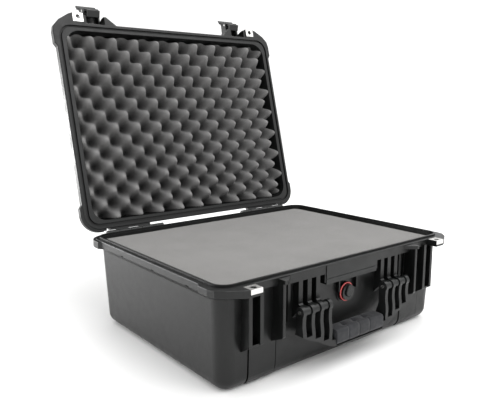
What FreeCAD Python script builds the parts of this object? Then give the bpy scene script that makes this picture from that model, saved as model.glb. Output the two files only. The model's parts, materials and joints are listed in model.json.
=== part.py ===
"""Hard equipment case, stored open: base, hinged lid, two double-throw latches, a folding handle,
a pressure valve and foam.  Millimetres.  X runs along the length, the front is -Y, Z is up, and the
origin is the centre of the base's footprint on the floor.  The lid and the latches are built closed
and are then turned to the open rest pose about their own pivots."""
import FreeCAD, Part
import math
import os

Vec = FreeCAD.Vector
X_AXIS = Vec(1, 0, 0)
Y_AXIS = Vec(0, 1, 0)

# ---- case body: half sizes in X and Y, heights in Z ----
RIM_HALF = (252.5, 194.0)       # outside of the mating flange
WALL_TOP_HALF = (242.3, 183.0)  # outside of the wall under the flange
WALL_LOW_HALF = (236.3, 177.6)  # outside of the wall at the floor, before its edge is rounded
ROOM_TOP_HALF = (236.5, 178.2)  # inside at the ledge below the rim
ROOM_LOW_HALF = (229.5, 171.0)  # inside at the bottom
LEDGE_HALF = (240.0, 181.5)     # inside of the rim, above the ledge
LEDGE_Z = 146.0
FOAM_TOP_Z = 151.3
RIM_RADIUS = 30.0
WALL_RADIUS = 22.0
ROOM_RADIUS = 18.0
LEDGE_RADIUS = 16.0
FLOOR_EDGE_RADIUS = 20.0
RIM_Z = 155.5                   # mating plane of the base
FLANGE_LOW_Z = 143.5
COVE_LOW_Z = 134.0              # where the wall starts to flare out to the flange
FLOOR_THICKNESS = 7.0
SEAL_GAP = 0.3                  # base to lid when closed
LID_TOP_Z = 213.0
LID_FLANGE_Z = 168.0
LID_WALL_HALF = (240.5, 182.0)  # outside of the lid's wall at the mating plane
LID_TOP_HALF = (231.5, 173.0)   # and at its top
LID_WALL_RADIUS = 34.0
LID_EDGE_RADIUS = 15.0
LID_RIM_HALF = (235.0, 178.5)   # inside of the lid at the mating plane
LID_ROOM_HALF = (228.0, 171.0)  # and at its top
LID_ROOM_Z = 205.0
LID_ROOM_RADIUS = 28.0
EDGE = 1.5                      # small moulded edge radius
RUNNER_HALF = (168.0, 16.0)     # long raised runners on the lid, which nest in grooves under a base
RUNNER_Y = 112.0
RUNNER_HEIGHT = 3.0

# ---- seal: tongue on the base, groove and gasket in the lid ----
SEAL_INSET = 8.0                # centre line of the seal, in from the rim's outside
TONGUE = (3.0, 3.0)             # width, height
GROOVE = (5.0, 7.0)             # width, depth
GASKET = (4.6, 3.7)             # width, height

# ---- lid hinge ----
HINGE_Y = 204.2
HINGE_Z = 152.0
LID_OPEN = 104.5
KNUCKLE_R = 6.3
KNUCKLE_START = 98.0            # inner end of each hinge, from the middle
KNUCKLE_COUNT = 5
KNUCKLE_PITCH = 23.4
KNUCKLE_GAP = 0.5
HINGE_PIN_R = 2.5
HINGE_STRIPS = ((124.0, 205.0), (212.4, 214.8))  # strips of the lid that close the hinge's gap
RUNNING = 0.06                  # radial clearance of a moving part on its pin
SNUG = 0.02                     # radial clearance of a pin in the part that holds it

# ---- padlock corners ----
LOCK_X = 205.8
LOCK_Y = -205.5
LOCK_HOLE_R = 4.5
LOCK_WIDTH = 20.0
PLATE_BACK_Y = -196.5
LOCK_FRONT_Y = -213.0
PLATE_T = 1.5
PLATE_LIP = 7.0
WEB_LOW_Z = 144.5
BUMPER = 4.8                    # how far the corners stand out from the flange

# ---- front of the base ----
COMB_PITCH = 17.6
COMB_FIRST = 74.0               # middle of the first rib beside the panel
COMB_WIDTH = 8.0
COMB_FRONT_Y = -194.0
COMB_TOP_Z = 141.4
PANEL_HALF = 57.4
PANEL_FRONT_Y = -195.0
PANEL_LOW_Z = 125.0
PANEL_LINE_Z = 133.0
GUARD_X = (147.0, 152.6)
GUARD_FRONT_Y = -205.0
GUARD_LOW_Z = 69.0
SHELF_FOOT_X = 129.0            # where the guard's shelf leaves the flange
SHELF_FRONT_Y = -208.5
TOWER_RIBS = ((182.0, 188.0), (201.6, 207.2))
TOWER_FRONT_Y = -198.5
TOWER_LOW_Z = 67.5
RIB_DROP = 11.5                 # how much lower a rib ends at the wall than at its front
PAD_X = (144.6, 193.0)          # raised pad of the wall under each latch
PAD_T = 1.0
PAD_GROOVE = (2.0, 1.8)         # width and depth of the groove beside each edge of a pad

# ---- handle ----
HANDLE_Y = -205.5
HANDLE_Z = 100.0
HANDLE_PIN_R = 2.5
HANDLE_PIN_X = (60.0, 123.5)
FINGER_WIDTH = 6.4
FINGER_FIRST = 65.2
FINGER_BOSS_R = 8.0
FINGER_COUNT = 4
HANDLE_OUTER = 121.7
GRIP_HALF = 53.5
GRIP_Y = (-215.5, -190.0)
GRIP_Z = (35.2, 60.0)
CORE_Y = (-208.0, -197.0)
CORE_TOP_Z = 50.0
SLOT_LOW_Z = (45.5, 49.5, 57.5, 64.0)   # bottoms of the gaps between fingers, from the grip outward

# ---- latches, closed ----
LEVER_Y = -202.0                # pivot on the lid
LEVER_Z = 181.0
HOOK_Y = -199.5                 # pivot of the hook on the lever
HOOK_Z = 156.0
LATCH_PIN_R = 2.2
HOOK_PIN_R = 2.0
LEVER_OPEN = 90.0
HOOK_OPEN = 115.0               # the hook turns this far against the lever
LEVER_X = (153.2, 186.5)
LEVER_TAB_X = (150.5, 190.0)    # the wider end that is pulled
CHEEK_X = ((153.2, 156.3), (182.2, 186.5))
HOOK_X = (156.8, 181.4)
LID_RIB_X = (GUARD_X, (189.4, 194.2))
LID_RIB_FRONT_Y = -210.5

# ---- valve ----
VALVE_X = -4.0
VALVE_Z = 101.5
VALVE_R = 15.2
KNOB_R = 12.8
VALVE_NECK_R = 8.5
VALVE_FACE_Y = -182.8           # face of the boss outside the wall
NUT_FACE_Y = -174.6             # face of the boss inside the wall
NUT_R = 13.0


def rounded_rect(half, radius, z):
    """Closed wire of a rectangle with round corners, centred on the origin at height z."""
    hx, hy = half
    edges = []
    corners = ((1, 1, 0), (-1, 1, 90), (-1, -1, 180), (1, -1, 270))
    arcs = []
    for sx, sy, start in corners:
        centre = Vec(sx * (hx - radius), sy * (hy - radius), z)
        points = [centre + Vec(radius * math.cos(math.radians(start + turn)),
                               radius * math.sin(math.radians(start + turn)), 0) for turn in (0, 45, 90)]
        arcs.append(points)
    for index, points in enumerate(arcs):
        edges.append(Part.Arc(*points).toShape())
        edges.append(Part.makeLine(points[2], arcs[(index + 1) % 4][0]))
    return Part.Wire(edges)


def slab(half, radius, low, high):
    """Straight-sided block with round corners."""
    return Part.Face(rounded_rect(half, radius, low)).extrude(Vec(0, 0, high - low))


def taper(half_low, half_high, radius, low, high):
    """Block with round corners whose walls lean evenly from one size to another."""
    wires = [rounded_rect(half_low, radius, low), rounded_rect(half_high, radius, high)]
    return Part.makeLoft(wires, True, True)


def ring(inset, width, low, high):
    """Rectangular ring that follows the rim at a distance in from its outside."""
    def block(distance):
        half = (RIM_HALF[0] - distance, RIM_HALF[1] - distance)
        return slab(half, RIM_RADIUS - distance, low, high)
    return block(inset - width / 2).cut(block(inset + width / 2))


def box(x, y, z):
    """Box between pairs of limits given in any order."""
    low = Vec(min(x), min(y), min(z))
    size = Vec(max(x), max(y), max(z)) - low
    return Part.makeBox(size.x, size.y, size.z, low)


def plate_yz(points, x_low, x_high):
    """Flat plate with a side outline in Y and Z, between two X positions."""
    wire = Part.makePolygon([Vec(x_low, y, z) for y, z in points + points[:1]])
    return Part.Face(wire).extrude(Vec(x_high - x_low, 0, 0))


def plate_xy(points, low, high):
    """Flat plate with a plan outline in X and Y, between two heights."""
    wire = Part.makePolygon([Vec(x, y, low) for x, y in points + points[:1]])
    return Part.Face(wire).extrude(Vec(0, 0, high - low))


def rod_x(radius, y, z, x_low, x_high):
    return Part.makeCylinder(radius, x_high - x_low, Vec(x_low, y, z), X_AXIS)


def rod_y(radius, x, z, y_low, y_high):
    return Part.makeCylinder(radius, y_high - y_low, Vec(x, y_low, z), Y_AXIS)


def mirrored(shape):
    """The same piece on the other side of the case's middle."""
    return shape.mirror(Vec(0, 0, 0), X_AXIS)


def both_sides(shapes):
    return list(shapes) + [mirrored(shape) for shape in shapes]


def fuse(shapes):
    shapes = list(shapes)
    return shapes[0].multiFuse(shapes[1:]).removeSplitter()


def turned(shape, y, z, degrees):
    """Copy turned about an X axis through (y, z)."""
    result = shape.copy()
    result.rotate(Vec(0, y, z), X_AXIS, degrees)
    return result


def lid_open(shape):
    return turned(shape, HINGE_Y, HINGE_Z, -LID_OPEN)


def rounded(shape, radius, wanted):
    """Fillet the edges for which wanted(edge) is true; keep the sharp shape if that can't be done."""
    edges = [edge for edge in shape.Edges if wanted(edge)]
    try:
        result = shape.makeFillet(radius, edges)
    except Part.OCCError:
        return shape
    return result if result.isValid() else shape


def at_height(z):
    """Test for edges that lie level at one height."""
    return lambda edge: abs(edge.BoundBox.ZMin - z) < 0.01 and abs(edge.BoundBox.ZMax - z) < 0.01


def wall_half(z):
    """Outside half size of the base's wall at a height."""
    share = z / FLANGE_LOW_Z
    return tuple(low + (top - low) * share for low, top in zip(WALL_LOW_HALF, WALL_TOP_HALF))


# ---------------------------------------------------------------- shared corner features
def corner_bumper(low, high):
    """Rounded block that guards one rear corner of the flange."""
    hx, hy = RIM_HALF
    outer = slab((hx + BUMPER, hy + BUMPER), RIM_RADIUS + BUMPER, low, high)
    reach = plate_xy([(hx - 44, hy - 4), (hx - 34, hy + BUMPER), (hx + BUMPER, hy + BUMPER),
                      (hx + BUMPER, hy - 42), (hx - 4, hy - 54), (hx - 60, hy - 60)], low, high)
    return rounded(outer.common(reach), EDGE, lambda edge: at_height(low)(edge) or at_height(high)(edge))


def lock_bumper(low, high):
    """Front corner guard that runs on into the padlock eye."""
    hx, hy = RIM_HALF
    inner = LOCK_X - LOCK_WIDTH / 2
    outer = LOCK_X + LOCK_WIDTH / 2
    outline = [(hx - 4, 54 - hy), (hx + BUMPER, 40 - hy), (hx + BUMPER, 20 - hy), (hx + 2, 8 - hy),
               (hx - 9, -hy - 4), (outer + 8, LOCK_FRONT_Y + 3), (outer, LOCK_FRONT_Y),
               (inner, LOCK_FRONT_Y), (LID_RIB_X[1][1] + 0.4, 4 - hy), (hx - 60, 60 - hy)]
    return rounded(plate_xy(outline, low, high), EDGE,
                   lambda edge: at_height(low)(edge) or at_height(high)(edge))


def lock_seat(mating_z, away):
    """Space in a padlock eye for its steel plate; away is +1 above the mating plane, -1 below it."""
    x = (LOCK_X - LOCK_WIDTH / 2, LOCK_X + LOCK_WIDTH / 2)
    top = box(x, (LOCK_FRONT_Y - 1, PLATE_BACK_Y), (mating_z, mating_z + away * PLATE_T))
    lip = box(x, (LOCK_FRONT_Y - 1, LOCK_FRONT_Y + PLATE_T), (mating_z, mating_z + away * PLATE_LIP))
    return top.fuse(lip)


def lock_hole(low, high):
    return Part.makeCylinder(LOCK_HOLE_R, high - low, Vec(LOCK_X, LOCK_Y, low))


def lock_plate(mating_z, away):
    """Stainless plate over a padlock eye, bent down over its front."""
    x = (LOCK_X - LOCK_WIDTH / 2, LOCK_X + LOCK_WIDTH / 2)
    top = box(x, (LOCK_FRONT_Y, PLATE_BACK_Y), (mating_z, mating_z + away * PLATE_T))
    lip = box(x, (LOCK_FRONT_Y, LOCK_FRONT_Y + PLATE_T), (mating_z, mating_z + away * PLATE_LIP))
    return top.fuse(lip).removeSplitter().cut(lock_hole(mating_z - PLATE_LIP, mating_z + PLATE_LIP))


def guard_shelf(low, high):
    """Triangular web that ties the inner side of a guard rib to the flange."""
    x_in, x_out = GUARD_X
    outline = [(SHELF_FOOT_X, 4 - RIM_HALF[1]), (SHELF_FOOT_X, -RIM_HALF[1]), (x_in + 0.5, SHELF_FRONT_Y),
               (x_out - 0.6, SHELF_FRONT_Y), (x_out, SHELF_FRONT_Y + 1), (x_out, 4 - RIM_HALF[1])]
    return plate_xy(outline, low, high)


# ---------------------------------------------------------------- base
def knuckle_spans(own):
    """X limits of the hinge knuckles that belong to the base (own=0) or to the lid (own=1)."""
    spans = []
    for index in range(KNUCKLE_COUNT):
        if index % 2 == own:
            start = KNUCKLE_START + index * KNUCKLE_PITCH
            spans.append((start + KNUCKLE_GAP, start + KNUCKLE_PITCH - KNUCKLE_GAP))
    return spans


def base_knuckle(x_low, x_high):
    arm = plate_yz([(188, 150), (188, 136), (196, 140), (HINGE_Y, HINGE_Z - KNUCKLE_R),
                    (HINGE_Y, HINGE_Z + 2), (196, 154)], x_low, x_high)
    return arm.fuse(rod_x(KNUCKLE_R, HINGE_Y, HINGE_Z, x_low, x_high))


def comb_rib(middle):
    """Rib beside the handle's fingers, with the knuckle that holds the handle's pin."""
    reach = KNUCKLE_R - 0.3
    outline = [(-178, COMB_TOP_Z + 2), (COMB_FRONT_Y, COMB_TOP_Z + 2), (COMB_FRONT_Y, HANDLE_Z + reach + 2),
               (COMB_FRONT_Y - 2, HANDLE_Z + reach), (HANDLE_Y, HANDLE_Z + reach),
               (HANDLE_Y, HANDLE_Z - reach), (-190, HANDLE_Z - reach), (-178, 80)]
    low, high = middle - COMB_WIDTH / 2, middle + COMB_WIDTH / 2
    rib = plate_yz(outline, low, high)
    return rib.fuse(rod_x(KNUCKLE_R, HANDLE_Y, HANDLE_Z, low, high))


def comb_middles():
    return [COMB_FIRST + index * COMB_PITCH for index in range(3)]


def guard_rib():
    """Tall rib on the inner side of a latch bay, with its lower front corner rounded off."""
    low = GUARD_LOW_Z
    outline = [(-178, FLANGE_LOW_Z + 6), (GUARD_FRONT_Y, FLANGE_LOW_Z + 6), (GUARD_FRONT_Y, low + 3),
               (GUARD_FRONT_Y + 2, low), (-178, low - RIB_DROP)]
    return rounded(plate_yz(outline, *GUARD_X), 1.2, lambda edge: edge.BoundBox.YMax < GUARD_FRONT_Y + 0.1
                   and edge.BoundBox.XLength < 0.01)


def tower_rib(x_low, x_high):
    low = TOWER_LOW_Z
    outline = [(-178, FLANGE_LOW_Z + 4), (TOWER_FRONT_Y, FLANGE_LOW_Z + 4), (TOWER_FRONT_Y, low + 1.5),
               (TOWER_FRONT_Y + 1.5, low), (-178, low - RIB_DROP)]
    return plate_yz(outline, x_low, x_high)


def tower_floor():
    """Sloping web that closes the pocket between the tower ribs from below."""
    low = TOWER_LOW_Z
    outline = [(TOWER_FRONT_Y + 1.5, low), (TOWER_FRONT_Y + 1.5, low + 3), (-178, low + 3 - RIB_DROP),
               (-178, low - RIB_DROP)]
    return plate_yz(outline, TOWER_RIBS[0][1] - 1, TOWER_RIBS[1][0] + 1)


def wall_strip(depth, rise, x_low, x_high):
    """Strip that follows the front wall and its rounded floor edge, from depth inside to rise outside."""
    centre = wall_half(FLOOR_EDGE_RADIUS)[1] - FLOOR_EDGE_RADIUS

    def profile(offset):
        radius = FLOOR_EDGE_RADIUS + offset
        turns = [math.radians(angle) for angle in (60, 45, 30, 15, 0)]
        points = [(-centre - radius * math.cos(turn), FLOOR_EDGE_RADIUS - radius * math.sin(turn))
                  for turn in turns]
        return points + [(-wall_half(FLANGE_LOW_Z)[1] - offset, FLANGE_LOW_Z)]

    return plate_yz(profile(rise) + profile(-depth)[::-1], x_low, x_high)


def pad_grooves():
    """Grooves on the outer sides of a pad's edges."""
    width, depth = PAD_GROOVE
    spans = ((PAD_X[0] - width, PAD_X[0]), (PAD_X[1], PAD_X[1] + width))
    return [wall_strip(depth, 3, *span) for span in spans]


def front_panel():
    """Plain panel above the valve, hollow underneath, with ribs at its ends."""
    face = box((-PANEL_HALF, PANEL_HALF), (-178, PANEL_FRONT_Y), (PANEL_LOW_Z, RIM_Z - 1))
    inner = PANEL_HALF - 4
    hollow = box((-inner, inner), (-180, PANEL_FRONT_Y + 3.5), (PANEL_LOW_Z - 1, PANEL_LOW_Z + 14))
    groove = box((-PANEL_HALF - 1, PANEL_HALF + 1), (PANEL_FRONT_Y + 0.8, PANEL_FRONT_Y - 1),
                 (PANEL_LINE_Z, PANEL_LINE_Z + 1))
    end = box((PANEL_HALF, PANEL_HALF + 3), (-178, COMB_FRONT_Y), (PANEL_LOW_Z + 3, FLANGE_LOW_Z + 4))
    return fuse([face.cut(hollow).cut(groove)] + both_sides([end]))


def base_front():
    """Everything moulded on the front wall of the base."""
    side = [comb_rib(middle) for middle in comb_middles()]
    side += [tower_rib(*span) for span in TOWER_RIBS]
    side += [tower_floor(), guard_rib(), guard_shelf(148.0, 153.5), wall_strip(2, PAD_T, *PAD_X)]
    side.append(box((60, GUARD_X[0] + 1), (-180, COMB_FRONT_Y), (COMB_TOP_Z, FLANGE_LOW_Z + 1)))
    side.append(box((124.5, 129.5), (-178, -189), (84, COMB_TOP_Z + 1)))
    valve_boss = rod_y(VALVE_R + 2.5, VALVE_X, VALVE_Z, VALVE_FACE_Y, -178)
    valve_ribs = [box((x - 1.2, x + 1.2), (-178, -188), (104, PANEL_LOW_Z + 1)) for x in (-21, 19)]
    return both_sides(side) + [front_panel(), valve_boss] + valve_ribs


def runners(extra, low, high):
    """Two long bars with round ends, grown all round by a clearance."""
    bars = []
    for y in (-RUNNER_Y, RUNNER_Y):
        bar = slab(tuple(size + extra for size in RUNNER_HALF), 12 + extra, low, high)
        bar.translate(Vec(0, y, 0))
        bars.append(bar)
    return bars


def base_hull():
    """Outside of the base: drafted walls, rounded floor edge, flared flange."""
    walls = taper(wall_half(0), wall_half(RIM_Z - 2), WALL_RADIUS, 0, RIM_Z - 2)
    walls = rounded(walls, FLOOR_EDGE_RADIUS, at_height(0))
    flange = rounded(slab(RIM_HALF, RIM_RADIUS, FLANGE_LOW_Z, RIM_Z), EDGE,
                     lambda edge: at_height(RIM_Z)(edge) or at_height(FLANGE_LOW_Z)(edge))
    flared = tuple(size - EDGE for size in RIM_HALF)
    cove = taper(wall_half(COVE_LOW_Z), flared, RIM_RADIUS, COVE_LOW_Z, FLANGE_LOW_Z + 0.5)
    cove = cove.cut(box((-214, 214), (-240, -WALL_TOP_HALF[1]), (COVE_LOW_Z - 1, FLANGE_LOW_Z)))
    return [walls, cove, flange]


def base_shell():
    corners = both_sides([lock_bumper(WEB_LOW_Z, RIM_Z), corner_bumper(WEB_LOW_Z - 3, RIM_Z - 1)])
    knuckles = both_sides([base_knuckle(*span) for span in knuckle_spans(0)])
    tongue = ring(SEAL_INSET, TONGUE[0], RIM_Z - 1, RIM_Z + TONGUE[1])
    shell = fuse(base_hull() + base_front() + corners + knuckles + [tongue])
    room = taper(ROOM_LOW_HALF, ROOM_TOP_HALF, ROOM_RADIUS, FLOOR_THICKNESS, LEDGE_Z)
    holes = [lock_seat(RIM_Z, -1), lock_hole(WEB_LOW_Z - 8, RIM_Z + 1)] + pad_grooves()
    holes.append(rod_x(HINGE_PIN_R + SNUG, HINGE_Y, HINGE_Z, KNUCKLE_START - 1, KNUCKLE_START + 120))
    holes.append(rod_x(HANDLE_PIN_R + SNUG, HANDLE_Y, HANDLE_Z, *HANDLE_PIN_X))
    for y in (-120, -25, 72):
        notch = box((RIM_HALF[0] - 4, RIM_HALF[0] + 1), (y - 4, y + 4), (FLANGE_LOW_Z - 1, FLANGE_LOW_Z + 2))
        holes.append(notch)
    cuts = both_sides(holes) + [room, slab(LEDGE_HALF, LEDGE_RADIUS, LEDGE_Z, RIM_Z + 9)]
    cuts += runners(1.5, -1, RUNNER_HEIGHT + 0.5)
    nut_boss = rod_y(NUT_R + 0.5, VALVE_X, VALVE_Z, -178, NUT_FACE_Y)
    return shell.cut(cuts).fuse(nut_boss).cut(rod_y(VALVE_NECK_R + SNUG, VALVE_X, VALVE_Z, -190, -160))


# ---------------------------------------------------------------- lid, built closed
def lid_knuckle(x_low, x_high):
    arm = plate_yz([(188, 158), (196, 157.5), (HINGE_Y - 5, HINGE_Z + 3.9), (HINGE_Y, HINGE_Z),
                    (HINGE_Y + 5, HINGE_Z + 3.9), (202, 164), (188, 168)], x_low, x_high)
    return arm.fuse(rod_x(KNUCKLE_R, HINGE_Y, HINGE_Z, x_low, x_high))


def lid_rib(x_low, x_high):
    """Rib that carries one end of a latch pin."""
    outline = [(-176, 158), (LID_RIB_FRONT_Y + 1, 158), (LID_RIB_FRONT_Y, 159), (LID_RIB_FRONT_Y, 167),
               (LEVER_Y - 6, 177), (LEVER_Y - 6, 185), (LEVER_Y, 189), (-190, 196), (-176, 198)]
    return plate_yz(outline, x_low, x_high)


def hinge_strips():
    """Strips on the back of the lid's flange, above the hinge."""
    z = (RIM_Z + SEAL_GAP + 1.2, LID_FLANGE_Z - 0.5)
    return [box(span, (RIM_HALF[1] - 4, RIM_HALF[1] + 3.3), z) for span in HINGE_STRIPS]


def lid_hull():
    low = RIM_Z + SEAL_GAP
    walls = taper(LID_WALL_HALF, LID_TOP_HALF, LID_WALL_RADIUS, low, LID_TOP_Z)
    walls = rounded(walls, LID_EDGE_RADIUS, at_height(LID_TOP_Z))
    flange = rounded(slab(RIM_HALF, RIM_RADIUS, low, LID_FLANGE_Z), EDGE,
                     lambda edge: at_height(low)(edge) or at_height(LID_FLANGE_Z)(edge))
    return [walls, flange]


def lid_shell():
    low = RIM_Z + SEAL_GAP
    side = [lid_rib(*span) for span in LID_RIB_X]
    side += [lock_bumper(low, LID_FLANGE_Z), corner_bumper(low + 1, LID_FLANGE_Z), guard_shelf(low + 1, 162)]
    side += [lid_knuckle(*span) for span in knuckle_spans(1)] + hinge_strips()
    panel = box((-PANEL_HALF - 3, PANEL_HALF + 3), (-170, -193), (LID_FLANGE_Z - 2, LID_FLANGE_Z + 12))
    bars = runners(0, LID_TOP_Z - 6, LID_TOP_Z + RUNNER_HEIGHT)
    shell = fuse(lid_hull() + bars + both_sides(side) + [panel])
    holes = [lock_seat(low, 1), lock_hole(low - 1, LID_FLANGE_Z + 1)]
    holes.append(rod_x(HINGE_PIN_R + RUNNING, HINGE_Y, HINGE_Z, KNUCKLE_START - 1, KNUCKLE_START + 120))
    holes.append(rod_x(LATCH_PIN_R + SNUG, LEVER_Y, LEVER_Z, GUARD_X[0] + 1.5, LID_RIB_X[1][1] - 1.5))
    room = taper(LID_RIM_HALF, LID_ROOM_HALF, LID_ROOM_RADIUS, low, LID_ROOM_Z)
    groove = ring(SEAL_INSET, GROOVE[0], low, low + GROOVE[1])
    return shell.cut(both_sides(holes) + [room, groove])


def lid_gasket():
    top = RIM_Z + SEAL_GAP + GROOVE[1]
    return ring(SEAL_INSET, GASKET[0], top - GASKET[1], top)


# ---------------------------------------------------------------- latches, built closed
def latch_lever():
    """Outer lever with two cheeks and a wider, flared lower end to pull on."""
    front = LEVER_Y - 9.5
    outline = [(front, 186), (front - 1.5, 172), (front, 154), (front - 3, 147), (front + 1, 146),
               (front + 3.6, 153), (front + 3.6, 186)]
    plate = rounded(plate_yz(outline, *LEVER_X), 0.8, lambda edge: edge.BoundBox.XLength < 0.01)
    tab_outline = [(front - 2, 149), (front - 6, 142), (front - 5.2, 139.8), (front - 2.4, 141),
                   (front + 1.5, 148)]
    tab = rounded(plate_yz(tab_outline, *LEVER_TAB_X), 0.6, lambda edge: edge.BoundBox.XLength < 0.01)
    cheek_outline = [(front + 2, 187), (LEVER_Y + 1, 187), (LEVER_Y + 5.5, 184), (LEVER_Y + 5.5, 178),
                     (HOOK_Y + 4, HOOK_Z + 5), (HOOK_Y + 4, HOOK_Z - 4), (HOOK_Y - 1, HOOK_Z - 6.5),
                     (front + 1, 149.5)]
    cheeks = [plate_yz(cheek_outline, *span) for span in CHEEK_X]
    lever = fuse([plate, tab] + cheeks)
    holes = [rod_x(LATCH_PIN_R + RUNNING, LEVER_Y, LEVER_Z, 150, 190),
             rod_x(HOOK_PIN_R + SNUG, HOOK_Y, HOOK_Z, 150, 190)]
    return lever.cut(holes)


def latch_hook():
    """Inner hook that hangs from the lever and catches under the base's flange."""
    catch = FLANGE_LOW_Z - 0.4
    outline = [(HOOK_Y - 3.9, HOOK_Z), (HOOK_Y - 3.9, catch - 3.0), (HOOK_Y - 2.9, catch - 3.8),
               (-190.8, catch - 3.8), (-190.0, catch - 3.0), (-190.0, catch), (HOOK_Y + 0.8, catch),
               (HOOK_Y - 0.2, catch + 2), (HOOK_Y - 0.2, HOOK_Z)]
    hook = plate_yz(outline, *HOOK_X).fuse(rod_x(3.9, HOOK_Y, HOOK_Z, *HOOK_X)).removeSplitter()
    return hook.cut(rod_x(HOOK_PIN_R + RUNNING, HOOK_Y, HOOK_Z, 150, 190))


def lever_open(shape):
    return lid_open(turned(shape, LEVER_Y, LEVER_Z, -LEVER_OPEN))


def hook_open(shape):
    """The lever carries the hook outward while the hook folds back towards the lid."""
    folded = turned(shape, HOOK_Y, HOOK_Z, HOOK_OPEN)
    return lever_open(folded)


# ---------------------------------------------------------------- handle, hanging down
def finger_side():
    """Side outline of the handle: boss at the pin, neck, bulge, and the foot that joins the bar."""
    points = [Vec(0, y, z) for y, z in (
        (HANDLE_Y - 6.6, 97), (HANDLE_Y - 5.8, 88), (HANDLE_Y - 6.0, 78), (HANDLE_Y - 7.4, 69),
        (HANDLE_Y - 7.8, 58), (HANDLE_Y - 7.4, 50), (HANDLE_Y - 8.6, 40), (HANDLE_Y - 8.5, 30))]
    front = Part.BSplineCurve()
    front.interpolate(points)
    back = [(HANDLE_Y + 12, 30), (HANDLE_Y + 12, 56), (HANDLE_Y + 7, 72), (HANDLE_Y + 7.6, 96)]
    corners = [points[-1]] + [Vec(0, y, z) for y, z in back] + [points[0]]
    edges = [front.toShape()] + [Part.makeLine(a, b) for a, b in zip(corners, corners[1:])]
    side = Part.Face(Part.Wire(edges)).extrude(Vec(2 * HANDLE_OUTER, 0, 0))
    side.translate(Vec(-HANDLE_OUTER, 0, 0))
    return side.fuse(rod_x(FINGER_BOSS_R, HANDLE_Y, HANDLE_Z, -HANDLE_OUTER, HANDLE_OUTER))


def handle_outline():
    """Front outline of the handle as a thick slab: straight arms, cut corners and a bowed bottom."""
    y = HANDLE_Y - 20
    def at(x, z):
        return Vec(x, y, z)
    bow = Part.Arc(at(-63, 36.5), at(0, 31.5), at(63, 36.5)).toShape()
    right = [at(63, 36.5), at(78, 43.5), at(94, 52.5), at(112, 59.5), at(HANDLE_OUTER, 65),
             at(HANDLE_OUTER, 110)]
    left = [Vec(-point.x, point.y, point.z) for point in reversed(right)]
    edges = [bow] + [Part.makeLine(a, b) for a, b in zip(right + left, (right + left)[1:])]
    return Part.Face(Part.Wire(edges)).extrude(Vec(0, 40, 0))


def handle_frame():
    """Moulded handle: two combs of fingers, a core bar inside the grip and a thin lip below it."""
    body = handle_outline().common(finger_side())
    cuts = []
    edge = GRIP_HALF
    for index in range(FINGER_COUNT):
        finger = FINGER_FIRST + index * COMB_PITCH
        cuts.append(box((edge, finger - FINGER_WIDTH / 2), (-240, -180), (SLOT_LOW_Z[index], 112)))
        edge = finger + FINGER_WIDTH / 2
    cuts = both_sides(cuts)
    cuts.append(box((-GRIP_HALF, GRIP_HALF), (-240, -180), (CORE_TOP_Z, 112)))
    cuts.append(box((-GRIP_HALF, GRIP_HALF), (CORE_Y[1], -180), (GRIP_Z[0], 112)))
    cuts.append(box((-GRIP_HALF, GRIP_HALF), (-240, CORE_Y[0]), (GRIP_Z[0], 112)))
    cuts.append(rod_x(HANDLE_PIN_R + RUNNING, HANDLE_Y, HANDLE_Z, -130, 130))
    return body.cut(cuts)


def handle_grip():
    """Rubber sleeve on the core bar, open underneath where the bar's lip shows."""
    width = GRIP_Y[1] - GRIP_Y[0]
    height = GRIP_Z[1] - GRIP_Z[0]
    sleeve = box((-GRIP_HALF, GRIP_HALF), GRIP_Y, (GRIP_Z[0], GRIP_Z[0] + height))
    sleeve = rounded(sleeve, min(width, height) * 0.3, lambda edge: edge.BoundBox.XLength > 50
                     and edge.BoundBox.ZMin > GRIP_Z[0] + 1)
    return sleeve.cut(box((-GRIP_HALF, GRIP_HALF), CORE_Y, (GRIP_Z[0], CORE_TOP_Z)))


def handle_pin():
    """Steel pin through one comb of the base and one comb of the handle."""
    return rod_x(HANDLE_PIN_R, HANDLE_Y, HANDLE_Z, *HANDLE_PIN_X)


# ---------------------------------------------------------------- valve
def valve_body():
    """Flanged bush through the front wall."""
    face = VALVE_FACE_Y
    flange = rod_y(VALVE_R, VALVE_X, VALVE_Z, face - 3, face)
    neck = rod_y(VALVE_NECK_R, VALVE_X, VALVE_Z, face, NUT_FACE_Y + 6)
    nose = rod_y(5.5, VALVE_X, VALVE_Z, face - 5.8, face - 3)
    bore = rod_y(3.0, VALVE_X, VALVE_Z, face - 7, face + 4.5)
    return fuse([flange, neck, nose]).cut(bore)


def valve_nut():
    """Hexagonal nut that holds the valve from inside the wall."""
    points = [Vec(VALVE_X + NUT_R * math.cos(math.radians(60 * turn)), NUT_FACE_Y,
                  VALVE_Z + NUT_R * math.sin(math.radians(60 * turn))) for turn in range(6)]
    nut = Part.Face(Part.makePolygon(points + points[:1])).extrude(Vec(0, 5, 0))
    return nut.cut(rod_y(VALVE_NECK_R + SNUG, VALVE_X, VALVE_Z, -190, -160))


def valve_seal():
    """Red ring between the valve's flange and its knob."""
    return Part.makeTorus(VALVE_R - 1.3, 1.3, Vec(VALVE_X, VALVE_FACE_Y - 4.4, VALVE_Z), Y_AXIS)


def valve_knob():
    """Round knob with a raised oval wing, off its middle, to turn it by."""
    face = VALVE_FACE_Y - 6
    disc = rod_y(KNOB_R, VALVE_X, VALVE_Z, face - 3, face)
    wing = slab((7.2, 9.6), 6.6, 0, 3.6)
    wing = rounded(wing, 1.5, at_height(3.6))
    wing.rotate(Vec(0, 0, 0), X_AXIS, 90)
    wing.translate(Vec(VALVE_X, face - 2.5, VALVE_Z + 2.4))
    top = fuse([disc, wing])
    top.rotate(Vec(VALVE_X, 0, VALVE_Z), Y_AXIS, 18)
    stem = rod_y(3.0 - RUNNING, VALVE_X, VALVE_Z, face - 0.5, face + 8)
    return fuse([top, stem])


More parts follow.
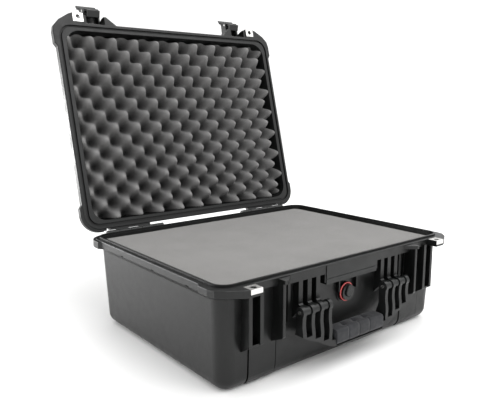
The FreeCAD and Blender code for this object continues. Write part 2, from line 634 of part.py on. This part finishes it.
# ---------------------------------------------------------------- foam
def room_half(z, clear=0.5):
    """Inside half size of the base's room at a height, less a small clearance."""
    share = (z - FLOOR_THICKNESS) / (LEDGE_Z - FLOOR_THICKNESS)
    return tuple(low + (top - low) * share - clear for low, top in zip(ROOM_LOW_HALF, ROOM_TOP_HALF))


def foam_layer(low, high):
    return taper(room_half(low), room_half(high), ROOM_RADIUS, low, high)


def foam_top():
    """Upper pick-and-pluck block, wider over the ledge and hollowed at the front for the valve's nut."""
    pocket = box((VALVE_X - 15, VALVE_X + 15), (-180, NUT_FACE_Y + 8), (VALVE_Z - 15, VALVE_Z + 15))
    lip = slab(tuple(size - 0.5 for size in LEDGE_HALF), LEDGE_RADIUS - 0.5, LEDGE_Z + 0.2, FOAM_TOP_Z)
    return foam_layer(78.0, LEDGE_Z + 0.2).fuse(lip).cut(pocket)


def lid_foam():
    """Block in the lid; its face towards the base stands for the crests of the egg-crate surface."""
    low = RIM_Z + SEAL_GAP + 1.7
    high = LID_ROOM_Z - 0.3
    return taper((234.0, 177.4), (227.6, 170.6), LID_ROOM_RADIUS, low, high)


def add_pair(pieces, name, shape):
    """Store a piece of the +X side and its mirror image."""
    pieces[name + "_right"] = shape
    pieces[name + "_left"] = mirrored(shape)


def build():
    low = RIM_Z + SEAL_GAP
    hinge_end = KNUCKLE_START + KNUCKLE_COUNT * KNUCKLE_PITCH
    pieces = {
        "base_shell": base_shell(),
        "foam_base_pad": foam_layer(FLOOR_THICKNESS, 20.0),
        "foam_pick_lower": foam_layer(20.0, 78.0),
        "foam_pick_upper": foam_top(),
        "lid_shell": lid_open(lid_shell()),
        "lid_gasket": lid_open(lid_gasket()),
        "foam_lid": lid_open(lid_foam()),
        "handle_frame": handle_frame(),
        "handle_grip": handle_grip(),
        "valve_body": valve_body(),
        "valve_nut": valve_nut(),
        "valve_seal": valve_seal(),
        "valve_knob": valve_knob(),
    }
    add_pair(pieces, "hinge_pin", rod_x(HINGE_PIN_R, HINGE_Y, HINGE_Z, KNUCKLE_START + 0.5, hinge_end - 0.5))
    add_pair(pieces, "handle_pin", handle_pin())
    add_pair(pieces, "base_lock_plate", lock_plate(RIM_Z, -1))
    add_pair(pieces, "lid_lock_plate", lid_open(lock_plate(low, 1)))
    add_pair(pieces, "latch_lever", lever_open(latch_lever()))
    add_pair(pieces, "latch_hook", hook_open(latch_hook()))
    lever_pin = rod_x(LATCH_PIN_R, LEVER_Y, LEVER_Z, GUARD_X[0] + 1.5, LID_RIB_X[1][1] - 1.5)
    hook_pin = rod_x(HOOK_PIN_R, HOOK_Y, HOOK_Z, CHEEK_X[0][0], CHEEK_X[1][1])
    add_pair(pieces, "latch_lever_pin", lid_open(lever_pin))
    add_pair(pieces, "latch_hook_pin", lever_open(hook_pin))
    return pieces


os.makedirs("parts", exist_ok=True)
for name, shape in build().items():
    shape.exportStep("parts/" + name + ".step")
    print(name, shape.isValid(), len(shape.Solids), round(shape.Volume / 1000, 1), "cm3")
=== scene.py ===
"""Looks for the hard equipment case: foam and grip meshes, materials, light and camera.  Metres."""
import bpy
import json
import math
from mathutils import Matrix, Vector, noise


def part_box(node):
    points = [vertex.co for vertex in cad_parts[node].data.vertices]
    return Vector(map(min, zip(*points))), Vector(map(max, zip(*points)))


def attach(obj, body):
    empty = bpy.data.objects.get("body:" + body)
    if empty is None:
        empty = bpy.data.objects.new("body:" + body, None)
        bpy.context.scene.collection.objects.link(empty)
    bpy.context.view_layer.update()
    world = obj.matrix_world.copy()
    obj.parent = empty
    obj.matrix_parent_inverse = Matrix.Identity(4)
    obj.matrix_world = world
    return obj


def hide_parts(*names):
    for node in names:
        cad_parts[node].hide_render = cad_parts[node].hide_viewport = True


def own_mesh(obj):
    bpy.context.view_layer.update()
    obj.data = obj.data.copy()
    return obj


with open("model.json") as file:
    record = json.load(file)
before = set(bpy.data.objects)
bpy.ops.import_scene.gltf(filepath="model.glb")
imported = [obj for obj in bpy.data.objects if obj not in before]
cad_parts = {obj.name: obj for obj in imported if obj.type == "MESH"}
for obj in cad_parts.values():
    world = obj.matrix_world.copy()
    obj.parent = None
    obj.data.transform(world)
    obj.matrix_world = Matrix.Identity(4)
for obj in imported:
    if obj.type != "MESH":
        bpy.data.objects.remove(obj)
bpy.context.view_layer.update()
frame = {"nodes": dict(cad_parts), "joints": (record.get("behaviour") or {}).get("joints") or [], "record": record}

# ---- camera: where the case is seen from, and how wide the lens is ----
VIEW_AZIMUTH = -39.1
VIEW_ELEVATION = 9.84
VIEW_DISTANCE = 0.9847
VIEW_TARGET = Vector((-0.0446, 0.0, 0.2245))
LENS_MM = 41.2

# ---- foam ----
BASE_FOAM = (("foam_base_pad", 0.012), ("foam_pick_lower", 0.012),  # node and its mesh size
             ("foam_pick_upper", 0.004))
BASE_DRAFT = 0.07              # how far the base foam's sides lean in, over its height
CRATE_PERIOD = (0.0472, 0.0485)  # one wave of the egg-crate surface, along x and y
CRATE_DEPTH = 0.040            # crest to valley
CRATE_UNEVEN = 0.0012          # how much its depth wanders
CRATE_PHASE = (0.465, -0.105)  # crest's offset from the middle, in waves
CRATE_STEP = 0.0026            # mesh size
BASE_CORNER = 0.0155           # plan radius of the base foam's corners
LID_CORNER = 0.022             # and of the lid foam's
LID_PROUD = 0.0065             # how far the lid's foam stands out of the open lid
LID_WIDER = 0.0012             # how far it spreads past its CAD outline on each side
FOAM_EDGE = 0.0025             # radius of a cut edge
ROW_SPREAD = 0.92              # how much a foam mesh's rows crowd towards the round corners

# ---- grip ----
GRIP_CREASES = (-0.027, -0.003, 0.021)
CREASE_WIDTH = 0.0016
CREASE_DEPTH = 0.055           # share of the half thickness
GRIP_CROWN = 0.10              # how much the top falls away towards the ends, as a share
GRIP_SQUARENESS = 0.45         # 1 is an oval section, 0 a rectangle
DIMPLE_DEPTH = 0.0032          # finger dimples on top, over the creases
DIMPLE_LENGTH = 0.0055
DIMPLE_WIDTH = 0.0042
GRIP_STATIONS = 150
GRIP_AROUND = 64


def joint(name):
    return next(item for item in frame["joints"] if item["name"] == name)


def lid_matrix():
    """Turns a piece that was built with the lid closed to where the open lid holds it."""
    hinge = joint("lid_hinge")
    pivot = Matrix.Translation(Vector(hinge["pos_m"]))
    turn = Matrix.Rotation(-math.radians(max(hinge["range_deg"])), 4, Vector(hinge["axis"]))
    return pivot @ turn @ pivot.inverted()


# ------------------------------------------------------------------ materials
class Nodes:
    """Short way to write a node material."""

    def __init__(self, name):
        self.material = bpy.data.materials.new(name)
        self.material.use_nodes = True
        self.tree = self.material.node_tree
        self.tree.nodes.clear()
        self.shader = self.add("ShaderNodeBsdfPrincipled")
        output = self.add("ShaderNodeOutputMaterial")
        self.link(self.shader.outputs["BSDF"], output.inputs["Surface"])
        self.place = self.add("ShaderNodeTexCoord").outputs["Object"]

    def add(self, kind, **settings):
        node = self.tree.nodes.new(kind)
        for key, value in settings.items():
            setattr(node, key, value)
        return node

    def link(self, source, target):
        self.tree.links.new(source, target)

    def noise(self, scale, detail=4.0, roughness=0.55, stretch=None):
        """Noise over the surface; scale is waves per metre."""
        node = self.add("ShaderNodeTexNoise")
        node.inputs["Scale"].default_value = scale
        node.inputs["Detail"].default_value = detail
        node.inputs["Roughness"].default_value = roughness
        place = self.place
        if stretch:
            mapping = self.add("ShaderNodeMapping")
            mapping.inputs["Scale"].default_value = stretch
            self.link(place, mapping.inputs["Vector"])
            place = mapping.outputs["Vector"]
        self.link(place, node.inputs["Vector"])
        return node.outputs["Fac"]

    def cells(self, scale):
        """Small round cells; 0 in the middle of each."""
        node = self.add("ShaderNodeTexVoronoi")
        node.inputs["Scale"].default_value = scale
        self.link(self.place, node.inputs["Vector"])
        return node.outputs["Distance"]

    def ramp(self, factor, stops):
        """Colour or grey ramp; stops are (position, colour) pairs."""
        node = self.add("ShaderNodeValToRGB")
        elements = node.color_ramp.elements
        while len(elements) < len(stops):
            elements.new(0.5)
        for element, (position, colour) in zip(elements, stops):
            element.position = position
            element.color = (*colour, 1.0)
        self.link(factor, node.inputs["Fac"])
        return node.outputs["Color"]

    def span(self, factor, low, high, from_low=0.0, from_high=1.0):
        """Stretches a factor from one range to another, and stops at its ends."""
        node = self.add("ShaderNodeMapRange")
        ends = {"From Min": from_low, "From Max": from_high, "To Min": low, "To Max": high}
        for key, value in ends.items():
            node.inputs[key].default_value = value
        self.link(factor, node.inputs["Value"])
        return node.outputs["Result"]

    def mix(self, factor, first, second):
        """Colour between two; each value is a socket, a number or a colour."""
        node = self.add("ShaderNodeMix", data_type="RGBA")
        for key, value in (("Factor", factor), ("A", first), ("B", second)):
            socket = node.inputs[key]
            if hasattr(value, "is_linked"):
                self.link(value, socket)
            elif isinstance(value, (int, float)):
                socket.default_value = value
            else:
                socket.default_value = (*value, 1.0)
        return node.outputs["Result"]

    def bump(self, height, distance, strength=1.0, after=None):
        node = self.add("ShaderNodeBump")
        node.inputs["Strength"].default_value = strength
        node.inputs["Distance"].default_value = distance
        self.link(height, node.inputs["Height"])
        if after is not None:
            self.link(after, node.inputs["Normal"])
        return node.outputs["Normal"]

    def worn(self):
        """How exposed a spot is: near 1 on outer edges, 0.5 on flats, near 0 in hollows."""
        return self.add("ShaderNodeNewGeometry").outputs["Pointiness"]

    def finish(self, colour=None, roughness=None, normal=None, **values):
        for name, value in values.items():
            self.shader.inputs[name.replace("_", " ")].default_value = value
        if colour is not None:
            self.link(colour, self.shader.inputs["Base Color"])
        if roughness is not None:
            self.link(roughness, self.shader.inputs["Roughness"])
        if normal is not None:
            self.link(normal, self.shader.inputs["Normal"])
        return self.material


def moulded_resin(name, dark, light, rough, grain=1.0):
    """Textured moulding resin: fine spark-eroded grain, faint flow marks, paler rubbed edges."""
    n = Nodes(name)
    flow = n.noise(9.0, 5.0, 0.6)
    speckle = n.noise(900.0, 2.0, 0.5)
    body = n.mix(n.span(flow, 0.0, 1.0, 0.35, 0.65), dark, light)
    body = n.mix(n.span(speckle, 0.0, 0.18, 0.5, 0.8), body, tuple(2.0 * c for c in light))
    edge = n.span(n.worn(), 0.0, 0.5, 0.52, 0.62)
    body = n.mix(edge, body, tuple(3.0 * c for c in light))
    roughness = n.span(n.noise(60.0, 4.0), rough - 0.07, rough + 0.07, 0.35, 0.65)
    fine = n.bump(n.cells(1400.0), 0.00012 * grain, 0.6)
    normal = n.bump(n.noise(420.0, 3.0), 0.00022 * grain, 0.5, fine)
    return n.finish(body, roughness, normal, Specular_IOR_Level=0.36)


def soft_rubber(name, dark, light):
    """Matt grip rubber with fine pores and a little dust."""
    n = Nodes(name)
    body = n.mix(n.span(n.noise(40.0, 5.0), 0.0, 1.0, 0.35, 0.65), dark, light)
    dust = n.span(n.noise(700.0, 2.0), 0.0, 0.25, 0.5, 0.75)
    body = n.mix(dust, body, tuple(2.0 * c for c in light))
    roughness = n.span(n.noise(120.0), 0.55, 0.78, 0.35, 0.65)
    normal = n.bump(n.cells(900.0), 0.0002, 0.5)
    return n.finish(body, roughness, normal, Specular_IOR_Level=0.35, Sheen_Weight=0.15)


def open_foam(name, dark, light, pore_and_valley_shade, pores=1700.0, sheen=0.25, valley_shade_attribute=None):
    """Open-cell foam: tiny pores in the third colour, cloudy tone.  The last argument may name an attribute,
    1 on a crest and 0 in a valley; then the valleys get painted shade, darkened towards the third colour."""
    n = Nodes(name)
    cloud = n.span(n.noise(14.0, 4.0), 0.0, 1.0, 0.3, 0.7)
    body = n.mix(cloud, dark, light)
    if valley_shade_attribute:
        height = n.add("ShaderNodeAttribute", attribute_name=valley_shade_attribute).outputs["Fac"]
        # painted shade: the colour darkens down the crate's valleys by crest height, standing in for the relief's
        # own shade
        lit = n.ramp(height, ((0.0, (0.03,) * 3), (0.5, (0.50,) * 3), (1.0, (1.0,) * 3)))
        body = n.mix(lit, pore_and_valley_shade, body)
    pore = n.span(n.cells(pores), 0.0, 1.0, 0.05, 0.45)
    body = n.mix(n.span(pore, 0.3, 0.0), body, pore_and_valley_shade)
    grit = n.span(n.noise(2600.0, 2.0), 0.0, 0.3, 0.5, 0.8)
    body = n.mix(grit, body, tuple(min(1.0, 1.5 * c) for c in light))
    coarse = n.bump(n.noise(160.0, 5.0), 0.0006, 0.35)
    normal = n.bump(pore, 0.0005, 0.6, coarse)
    return n.finish(body, None, normal, Roughness=0.95, Specular_IOR_Level=0.1, Sheen_Weight=sheen,
                    Sheen_Roughness=0.6)


def brushed_metal(name, colour, along, rough):
    """Metal with fine streaks; along is small on the axis that the streaks follow."""
    n = Nodes(name)
    streaks = n.noise(260.0, 6.0, 0.7, stretch=along)
    body = n.mix(n.span(streaks, 0.0, 1.0, 0.3, 0.7), tuple(0.8 * c for c in colour), colour)
    roughness = n.span(streaks, rough - 0.08, rough + 0.12, 0.3, 0.7)
    normal = n.bump(streaks, 0.00008, 0.4)
    return n.finish(body, roughness, normal, Metallic=1.0)


def plain_rubber(name, colour, rough, specular=0.4):
    """Smooth moulded rubber with a slightly cloudy tone."""
    n = Nodes(name)
    tone = n.span(n.noise(90.0, 4.0), 0.0, 1.0, 0.3, 0.7)
    body = n.mix(tone, tuple(0.75 * c for c in colour), colour)
    roughness = n.span(n.noise(300.0), rough - 0.08, rough + 0.08)
    normal = n.bump(n.noise(800.0), 0.0001, 0.4)
    return n.finish(body, roughness, normal, Specular_IOR_Level=specular)


def make_materials():
    """One material for each slot of the record."""
    return {
        "shell_plastic": moulded_resin(
            "shell_resin", (0.0018, 0.002, 0.002), (0.0032, 0.0036, 0.0035), 0.38),
        "hardware_plastic": moulded_resin(
            "hardware_resin", (0.0024, 0.0025, 0.0026), (0.0045, 0.0048, 0.0048), 0.35, grain=0.5),
        "valve_plastic": moulded_resin(
            "valve_resin", (0.0024, 0.0025, 0.0026), (0.0045, 0.0046, 0.0048), 0.34, grain=0.4),
        "grip_rubber": soft_rubber("grip_rubber", (0.0035, 0.004, 0.0058), (0.0058, 0.0065, 0.009)),
        "gasket": plain_rubber("gasket_rubber", (0.006, 0.006, 0.006), 0.6),
        "seal_red": plain_rubber("red_seal", (0.48, 0.035, 0.035), 0.22, specular=1.0),
        "foam_grey": open_foam(
            "grey_foam", (0.135, 0.131, 0.126), (0.160, 0.156, 0.150), (0.10, 0.098, 0.095)),
        # the crate foam's valleys get painted shade, darkened towards its near-black third colour by crest height
        "foam_dark": open_foam(
            "crate_foam", (0.162, 0.160, 0.159), (0.210, 0.207, 0.205), (0.005, 0.005, 0.005),
            pores=1300.0, sheen=0.08, valley_shade_attribute="crest"),
        "stainless": brushed_metal("stainless", (0.80, 0.79, 0.77), (1.0, 12.0, 12.0), 0.30),
        "steel_pin": brushed_metal("steel_pin", (0.62, 0.62, 0.61), (12.0, 1.0, 1.0), 0.30),
    }


def paint_frame(materials):
    """Gives every CAD node the material of its slot."""
    for part in frame["record"]["subparts"]:
        mesh = frame["nodes"][part["node"]].data
        mesh.materials.clear()
        mesh.materials.append(materials[part["material_slot"]])


# ------------------------------------------------------------------ foam
def make_object(name, points, faces, material, smooth=True):
    """Mesh object with one material."""
    mesh = bpy.data.meshes.new(name)
    mesh.from_pydata(points, [], faces)
    mesh.materials.append(material)
    mesh.validate()
    if smooth:
        mesh.shade_smooth()
    piece = bpy.data.objects.new(name, mesh)
    bpy.context.scene.collection.objects.link(piece)
    return piece


def row_reach(y, half, radius):
    """Half length of a round-cornered plan at one y."""
    past = abs(y) - (half[1] - radius)
    if past <= 0:
        return half[0]
    return half[0] - radius + math.sqrt(max(radius * radius - past * past, 0.0))


def foam_block(name, material, front_half, back_half, front_z, back_z, corner, step, relief):
    """Foam block whose front face follows relief(x, y), a depth towards the back face.
    Front and back may be either way up.  The cut edge between face and side is rounded, and hollows of
    the face that reach the sides follow their lean."""
    nx = int(2 * front_half[0] / step)
    ny = int(2 * front_half[1] / step)
    toward_back = 1.0 if back_z > front_z else -1.0
    points, faces = [], []

    def add_face(half, point_at):
        for j in range(ny + 1):
            spread = math.sin(math.pi * (j / ny - 0.5) * ROW_SPREAD) / math.sin(math.pi * ROW_SPREAD / 2)
            y = spread * (half[1] - 1e-5)
            reach = row_reach(y, half, corner)
            points.extend(point_at((2 * i / nx - 1) * reach, y) for i in range(nx + 1))

    def front_point(x, y):
        rim = min(row_reach(y, front_half, corner) - abs(x), front_half[1] - abs(y))
        near = max(0.0, 1.0 - rim / FOAM_EDGE)
        z = front_z + toward_back * (relief(x, y) + FOAM_EDGE * near * near)
        share = max(0.0, (z - front_z) / (back_z - front_z))
        lean = [1.0 - share * (1.0 - back / front) for front, back in zip(front_half, back_half)]
        return x * lean[0], y * lean[1], z

    add_face(front_half, front_point)
    back_start = len(points)
    add_face(back_half, lambda x, y: (x, y, back_z))

    def quads(start, flip):
        for j in range(ny):
            for i in range(nx):
                a = start + j * (nx + 1) + i
                quad = (a, a + 1, a + nx + 2, a + nx + 1)
                faces.append(quad[::-1] if flip else quad)

    quads(0, toward_back > 0)
    quads(back_start, toward_back < 0)
    rim = list(range(nx + 1))
    rim += [j * (nx + 1) + nx for j in range(1, ny + 1)]
    rim += [ny * (nx + 1) + i for i in range(nx - 1, -1, -1)]
    rim += [j * (nx + 1) for j in range(ny - 1, 0, -1)]
    for a, b in zip(rim, rim[1:] + rim[:1]):
        side = (a, a + back_start, b + back_start, b)
        faces.append(side[::-1] if toward_back > 0 else side)
    return make_object(name, points, faces, material)


def crate_relief(x, y):
    """Egg-crate surface: staggered round crests and valleys, a little uneven as cut foam is."""
    wave = math.cos(2 * math.pi * (x / CRATE_PERIOD[0] + CRATE_PHASE[0]))
    wave *= math.cos(2 * math.pi * (y / CRATE_PERIOD[1] + CRATE_PHASE[1]))
    shaped = math.copysign(abs(wave) ** 0.9, wave)
    uneven = noise.noise(Vector((x * 14, y * 14, 3.0)))
    return CRATE_DEPTH * (0.5 - 0.5 * shaped) + CRATE_UNEVEN * (1 + uneven)


def flat_relief(x, y):
    """Cut foam lies nearly flat, with long soft waves and a fine unevenness."""
    waves = 0.0006 * (1 + noise.noise(Vector((x * 9, y * 9, 1.0))))
    return waves + 0.00015 * (1 + noise.noise(Vector((x * 70, y * 70, 5.0))))


def add_base_foam(materials):
    """The three blocks of the base, in the places of their CAD solids."""
    for node, step in BASE_FOAM:
        low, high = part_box(node)
        half = (high[0], high[1])
        lean = (high[2] - low[2]) * BASE_DRAFT
        piece = foam_block(node + "_mesh", materials["foam_grey"], half, (half[0] - lean, half[1] - lean),
                           high[2], low[2], BASE_CORNER, step, flat_relief)
        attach(piece, "base")
        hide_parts(node)


def add_lid_foam(materials):
    """Egg-crate block, built with the lid closed from its CAD solid's outline, then turned open with it."""
    opened = lid_matrix()
    closed = opened.inverted()
    corners = [closed @ vertex.co for vertex in frame["nodes"]["foam_lid"].data.vertices]
    outline_z, back_z = min(c.z for c in corners), max(c.z for c in corners)
    near = 0.001
    front_half = tuple(max(c[axis] for c in corners if c.z < outline_z + near) + LID_WIDER for axis in (0, 1))
    back_half = tuple(max(c[axis] for c in corners if c.z > back_z - near) for axis in (0, 1))
    front_z = outline_z - LID_PROUD
    piece = foam_block("foam_lid_mesh", materials["foam_dark"], front_half, back_half, front_z, back_z,
                       LID_CORNER, CRATE_STEP, crate_relief)
    # crest height per vertex, which the crate foam's material turns into painted shade in the valleys
    crest = piece.data.attributes.new("crest", "FLOAT", "POINT")
    for vertex, value in zip(piece.data.vertices, crest.data):
        value.value = max(0.0, 1.0 - (vertex.co.z - front_z) / CRATE_DEPTH)
    piece.data.transform(opened)
    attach(piece, "lid")
    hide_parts("foam_lid")
    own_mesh(piece)


# ------------------------------------------------------------------ grip
def grip_ring(x, low, high):
    """One cross-section of the grip: a soft rectangle, pinched at each crease and dimpled on top."""
    mid_y, mid_z = (low[1] + high[1]) / 2, (low[2] + high[2]) / 2
    half_y, half_z = (high[1] - low[1]) / 2, (high[2] - low[2]) / 2
    pinch = sum(math.exp(-((x - crease) / CREASE_WIDTH) ** 2) for crease in GRIP_CREASES)
    dimple = sum(math.exp(-((x - crease) / DIMPLE_LENGTH) ** 2) for crease in GRIP_CREASES)
    shrink = 1.0 - CREASE_DEPTH * pinch
    ring = []
    for k in range(GRIP_AROUND):
        angle = 2 * math.pi * k / GRIP_AROUND
        c, s = math.cos(angle), math.sin(angle)
        y = math.copysign(abs(c) ** GRIP_SQUARENESS, c)
        z = math.copysign(abs(s) ** GRIP_SQUARENESS, s)
        top = max(0.0, s)
        dip = DIMPLE_DEPTH * dimple * top * math.exp(-(y * half_y / DIMPLE_WIDTH) ** 2) if z > 0.5 else 0.0
        crown = 1.0 - GRIP_CROWN * (x / high[0]) ** 2 * top
        ring.append((x, mid_y + y * half_y * shrink, mid_z + z * half_z * shrink * crown - dip))
    return ring


def add_grip(materials):
    """Rubber sleeve in the place of its CAD solid."""
    low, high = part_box("handle_grip")
    points, faces = [], []
    for station in range(GRIP_STATIONS + 1):
        x = low[0] + (high[0] - low[0]) * station / GRIP_STATIONS
        points += grip_ring(x, low, high)
    for station in range(GRIP_STATIONS):
        for k in range(GRIP_AROUND):
            a = station * GRIP_AROUND + k
            b = station * GRIP_AROUND + (k + 1) % GRIP_AROUND
            faces.append((a, b, b + GRIP_AROUND, a + GRIP_AROUND))
    faces.append(tuple(reversed(range(GRIP_AROUND))))
    faces.append(tuple(GRIP_STATIONS * GRIP_AROUND + k for k in range(GRIP_AROUND)))
    piece = make_object("grip_sleeve", points, faces, materials["grip_rubber"])
    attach(piece, "handle")
    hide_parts("handle_grip")


# ------------------------------------------------------------------ stage
def add_floor():
    """Plain pale floor, just under the case."""
    n = Nodes("pale_floor")
    body = n.mix(n.noise(3.0, 3.0), (0.90, 0.90, 0.895), (0.92, 0.92, 0.915))
    material = n.finish(body, Roughness=0.6, Specular_IOR_Level=0.2)
    size = 12.0
    floor = make_object("floor", [(-size, -size, 0), (size, -size, 0), (size, size, 0), (-size, size, 0)],
                        [(0, 1, 2, 3)], material, smooth=False)
    floor.location.z = -0.0002


def add_light(name, position, target, size, power):
    """Soft rectangular lamp, in watts, that faces its target."""
    lamp = bpy.data.lights.new(name, "AREA")
    lamp.shape = "RECTANGLE"
    lamp.size, lamp.size_y = size
    lamp.energy = power
    holder = bpy.data.objects.new(name, lamp)
    holder.location = position
    holder.rotation_euler = (Vector(target) - Vector(position)).to_track_quat("-Z", "Y").to_euler()
    bpy.context.scene.collection.objects.link(holder)


def add_lighting():
    """White surroundings, a lamp above, one low behind the left side and one in front."""
    world = bpy.data.worlds.new("studio")
    bpy.context.scene.world = world
    world.use_nodes = True
    background = world.node_tree.nodes["Background"]
    background.inputs["Color"].default_value = (1.0, 1.0, 1.0, 1.0)
    background.inputs["Strength"].default_value = 1.15
    add_light("overhead", (0.8, -0.6, 2.5), (0, 0, 0.1), (3.4, 3.0), 52)
    add_light("left_back", (-1.9, 2.2, 0.2), (0, 0, 0.0), (2.8, 0.38), 72)
    add_light("front", (0.4, -2.2, 2.0), (0, -0.2, 0.0), (2.4, 1.6), 18)


def add_camera():
    """Camera at the view's angle and distance, aimed at VIEW_TARGET."""
    azimuth, elevation = math.radians(VIEW_AZIMUTH), math.radians(VIEW_ELEVATION)
    back = Vector((math.sin(azimuth) * math.cos(elevation), -math.cos(azimuth) * math.cos(elevation),
                   math.sin(elevation)))
    data = bpy.data.cameras.new("camera")
    data.lens = LENS_MM
    data.clip_start = 0.01
    camera = bpy.data.objects.new("camera", data)
    camera.location = VIEW_TARGET + back * VIEW_DISTANCE
    camera.rotation_euler = back.to_track_quat("Z", "Y").to_euler()
    bpy.context.scene.collection.objects.link(camera)
    bpy.context.scene.camera = camera


bpy.context.scene.view_settings.view_transform = "Standard"
add_camera()
all_materials = make_materials()
paint_frame(all_materials)
add_base_foam(all_materials)
add_lid_foam(all_materials)
add_grip(all_materials)
add_floor()
add_lighting()
